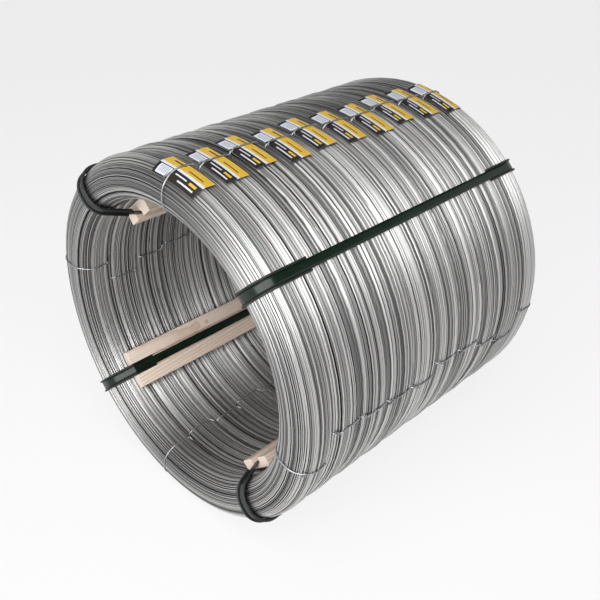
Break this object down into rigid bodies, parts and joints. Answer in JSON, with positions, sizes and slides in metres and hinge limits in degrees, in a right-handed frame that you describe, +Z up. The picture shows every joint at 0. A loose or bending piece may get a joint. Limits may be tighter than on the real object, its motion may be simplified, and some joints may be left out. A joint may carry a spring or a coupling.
{
  "type": "pack of wire coils",
  "caption": "Strapped pack of bright drawn steel wire coils lying on its side, tied coil by coil, with plastic straps over edge guards and timber battens in the bore.",
  "frame": {"origin": "on the floor, under the middle of the pack", "axes": "+X along the pack axis, +Z up, angles round the axis grow from +Z towards +Y"},
  "size_m": [0.7754, 0.8061, 0.8015],
  "materials": {
    "wire": "bright drawn",
    "tie_wire": "soft bright",
    "label_card": "printed card",
    "strap": "smooth strapping",
    "edge_guard": "matt",
    "batten": "sawn softwood"
  },
  "bodies": {
    "root": {"coil_01": "wire", "coil_02": "wire", "coil_03": "wire", "coil_04": "wire", "coil_05": "wire", "coil_06": "wire", "coil_07": "wire", "coil_08": "wire", "coil_09": "wire", "coil_10": "wire", "ties_coil_01": "tie_wire", "ties_coil_02": "tie_wire", "ties_coil_03": "tie_wire", "ties_coil_04": "tie_wire", "ties_coil_05": "tie_wire", "ties_coil_06": "tie_wire", "ties_coil_07": "tie_wire", "ties_coil_08": "tie_wire", "ties_coil_09": "tie_wire", "ties_coil_10": "tie_wire", "label_01": "label_card", "label_02": "label_card", "label_03": "label_card", "label_04": "label_card", "label_05": "label_card", "label_06": "label_card", "label_07": "label_card", "label_08": "label_card", "label_09": "label_card", "label_10": "label_card", "strap_top_left": "strap", "strap_bottom_left": "strap", "strap_bottom_right": "strap", "strap_top_right": "strap", "edge_guard_near_top_left": "edge_guard", "edge_guard_near_bottom_left": "edge_guard", "edge_guard_near_bottom_right": "edge_guard", "edge_guard_near_top_right": "edge_guard", "edge_guard_far_top_left": "edge_guard", "edge_guard_far_bottom_left": "edge_guard", "edge_guard_far_bottom_right": "edge_guard", "edge_guard_far_top_right": "edge_guard", "batten_top_left": "batten", "batten_bottom_left": "batten", "batten_bottom_right": "batten", "batten_top_right": "batten"}
  },
  "joints": []
}
